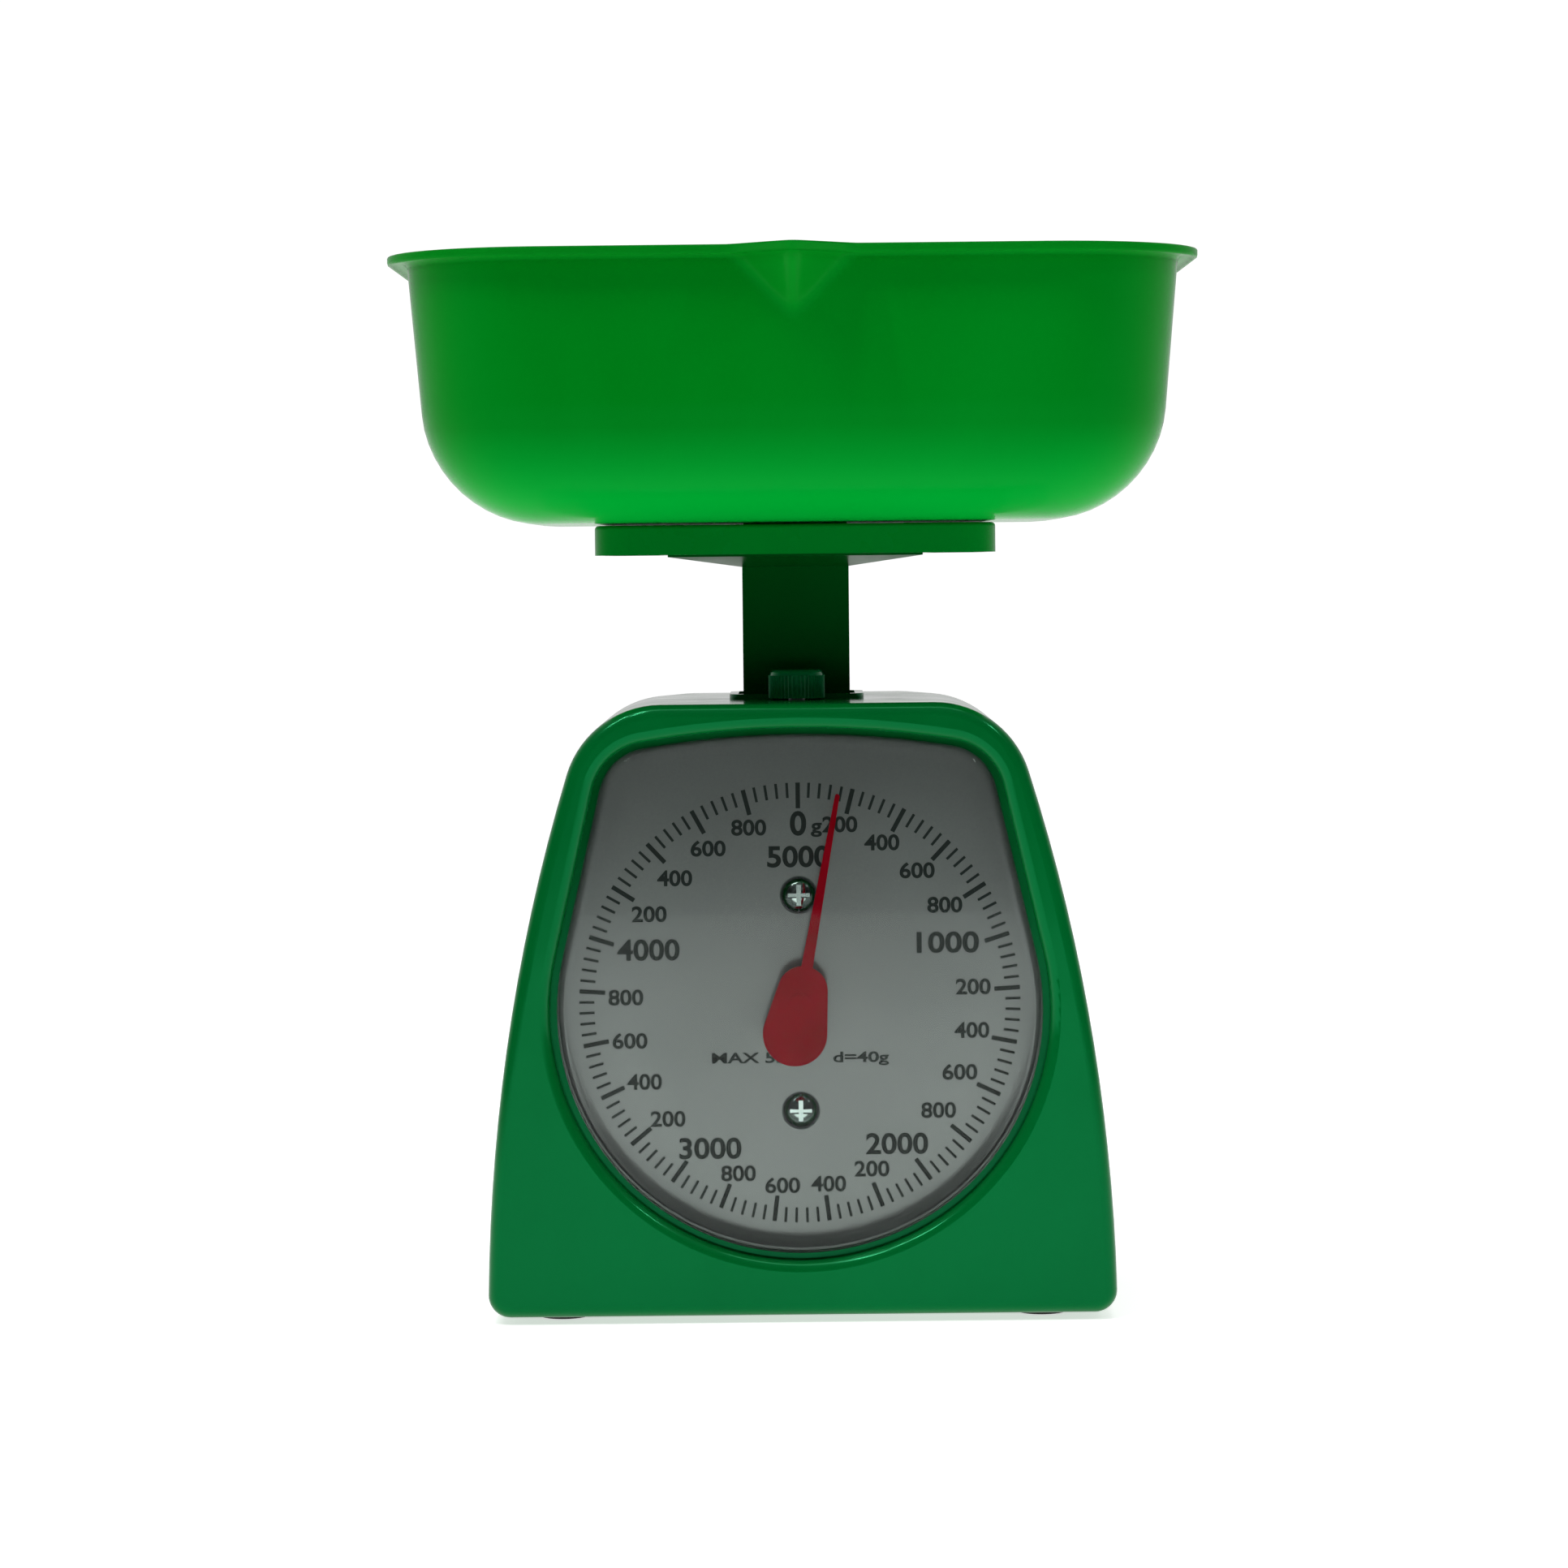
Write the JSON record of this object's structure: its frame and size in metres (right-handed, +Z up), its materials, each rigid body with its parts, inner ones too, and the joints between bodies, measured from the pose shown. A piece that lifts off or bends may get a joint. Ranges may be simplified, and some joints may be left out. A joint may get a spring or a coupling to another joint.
{
  "type": "mechanical kitchen scale",
  "caption": "Mechanical dial scale with a green plastic housing, clear dial window, red pointer, zero knob, square platform and lift-off bowl with a spout.",
  "frame": {"origin": "on the standing surface, under the middle of the whole object's box", "axes": "+Z up, the dial faces -Y, +X to the right of a person reading the dial"},
  "size_m": [0.1814, 0.1534, 0.2389],
  "materials": {
    "green_plastic": "gloss",
    "bowl_plastic": "gloss",
    "clear_plastic": "gloss",
    "dial_print": "satin",
    "red_plastic": "gloss",
    "chrome_steel": "polished",
    "plated_steel": "satin",
    "brass": "satin",
    "black_rubber": "matte"
  },
  "bodies": {
    "root": {"front_housing": "green_plastic", "rear_cover": "green_plastic", "rear_cover_screws": "chrome_steel", "dial_lens": "clear_plastic", "dial_plate": "dial_print", "dial_screws": "chrome_steel", "rubber_feet": "black_rubber", "mechanism_frame": "plated_steel", "frame_screws": "chrome_steel", "bearing_bridge": "plated_steel", "bridge_screws": "chrome_steel", "shaft_bushes": "brass", "overload_stop": "black_rubber", "upper_rear_pin": "plated_steel", "lower_rear_pin": "plated_steel"},
    "upper_link": {"upper_link": "plated_steel"},
    "lower_link": {"lower_link": "plated_steel"},
    "column": {"column": "green_plastic", "upper_front_pin": "plated_steel", "lower_front_pin": "plated_steel", "platform": "green_plastic", "platform_screws": "chrome_steel", "rack": "brass", "rack_screws": "chrome_steel", "spring_crossbar": "plated_steel"},
    "bowl": {"bowl": "bowl_plastic"},
    "pointer": {"pointer_shaft": "plated_steel", "pinion": "brass", "pointer": "red_plastic"},
    "zero_knob": {"zero_knob": "green_plastic", "adjust_screw": "plated_steel"},
    "spring_hanger": {"spring_hanger": "plated_steel", "left_spring": "plated_steel", "right_spring": "plated_steel"}
  },
  "joints": [
    {"name": "link_swing", "type": "hinge", "parent": "root", "child": "upper_link", "pos_m": [0, 0.045, 0.108], "axis": [1, 0, 0], "range_deg": [-0.5, 14], "stiffness_Nm_per_rad": 9.784, "springref_deg": -0.72, "deforming": ["left_spring", "right_spring"]},
    {"name": "column_pivot", "type": "hinge", "parent": "upper_link", "child": "column", "pos_m": [0, -0.00465, 0.11389], "axis": [1, 0, 0], "range_deg": [-14.5, 1]},
    {"name": "lower_link_swing", "type": "hinge", "parent": "root", "child": "lower_link", "pos_m": [0, 0.045, 0.034], "axis": [1, 0, 0], "range_deg": [-1, 14.5]},
    {"name": "pointer_turn", "type": "hinge", "parent": "root", "child": "pointer", "pos_m": [0, -0.04, 0.0705], "axis": [0, 1, 0], "range_deg": [-14.47, 351.07]},
    {"name": "knob_turn", "type": "hinge", "parent": "root", "child": "zero_knob", "pos_m": [0, -0.0132, 0.142], "axis": [0, 0, 1], "range_deg": [-545, 545]},
    {"name": "hanger_slide", "type": "slide", "parent": "root", "child": "spring_hanger", "axis": [0, 0, 1], "range_m": [-0.0015, 0.0015]},
    {"name": "bowl_lift", "type": "slide", "parent": "column", "child": "bowl", "axis": [0, 0, 1], "range_m": [0, 0.12]}
  ],
  "couplings": [
    {"joint": "column_pivot", "follows": "link_swing", "ratio": -1},
    {"joint": "lower_link_swing", "follows": "link_swing", "ratio": 1},
    {"joint": "pointer_turn", "follows": "link_swing", "ratio": 24.934},
    {"joint": "knob_turn", "follows": "hanger_slide", "rad_per_m": 6283.2}
  ]
}
